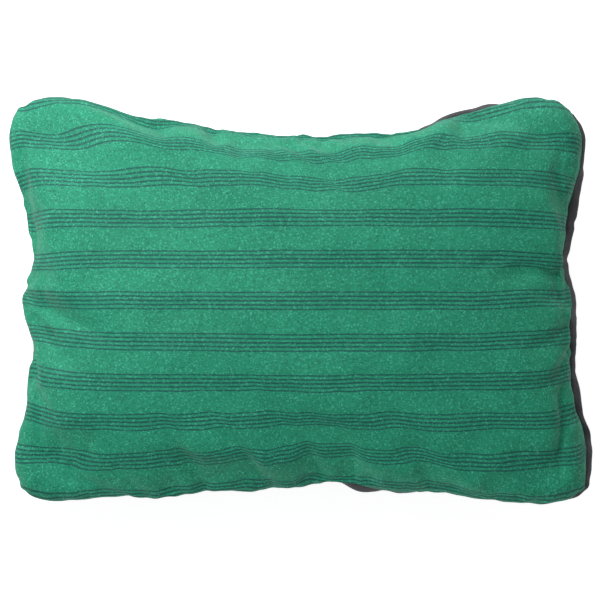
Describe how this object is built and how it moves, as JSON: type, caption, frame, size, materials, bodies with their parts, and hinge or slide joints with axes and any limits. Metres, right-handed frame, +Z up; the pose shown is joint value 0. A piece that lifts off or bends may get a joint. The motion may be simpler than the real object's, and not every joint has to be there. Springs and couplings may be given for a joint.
{
  "type": "camp pillow",
  "caption": "Soft rectangular camping pillow: green patterned top, charcoal underside, shredded foam inside, fold-out stow flap with drawcord and cord lock beneath",
  "frame": {"origin": "on the resting plane, under the centre of the pillow's bounding rectangle", "axes": "+X along the long side, +Y along the short side away from the drawcord, +Z up through the thickness, out of the green front"},
  "size_m": [0.578, 0.406, 0.1225],
  "materials": {
    "brushed_knit": "brushed polyester knit with a thin line print",
    "charcoal_weave": "plain woven polyester",
    "binding_tape": "woven tape",
    "foam": "shredded open-cell foam",
    "flap_weave": "doubled woven polyester",
    "cord": "round braided cord",
    "thread": "dense zigzag stitching",
    "black_plastic": "moulded acetal",
    "grey_plastic": "moulded acetal",
    "eyelet_metal": "darkened, satin",
    "spring_steel": "drawn wire"
  },
  "bodies": {
    "root": {"front_panel": "brushed_knit", "back_panel": "charcoal_weave", "seam_binding": "binding_tape", "foam_fill": "foam", "flap_anchor_web": "flap_weave", "cord_casing": "flap_weave", "cord_eyelet": "eyelet_metal"},
    "stow_flap": {"stow_flap": "flap_weave", "flap_hem_casing": "flap_weave", "drawcord_hem_run": "cord", "hem_bartacks": "thread"},
    "drawcord_tail": {"drawcord_tail": "cord", "cord_end_stop": "black_plastic"},
    "cord_lock": {"cord_lock_barrel": "black_plastic", "cord_lock_spring": "spring_steel"},
    "plunger": {"cord_lock_plunger": "grey_plastic"}
  },
  "joints": [
    {"name": "stow_flap_hinge", "type": "hinge", "parent": "root", "child": "stow_flap", "pos_m": [0, -0.1215, 0.0034], "axis": [-1, 0, 0], "range_deg": [0, 180]},
    {"name": "drawcord_pull", "type": "slide", "parent": "root", "child": "drawcord_tail", "axis": [1, 0, 0], "range_m": [0, 0.08]},
    {"name": "cord_lock_slide", "type": "slide", "parent": "drawcord_tail", "child": "cord_lock", "axis": [-1, 0, 0], "range_m": [0, 0.026]},
    {"name": "plunger_press", "type": "slide", "parent": "cord_lock", "child": "plunger", "axis": [0, 1, 0], "range_m": [0, 0.003], "stiffness_N_per_m": 900, "springref_m": -0.002, "deforming": ["cord_lock_spring"]}
  ]
}
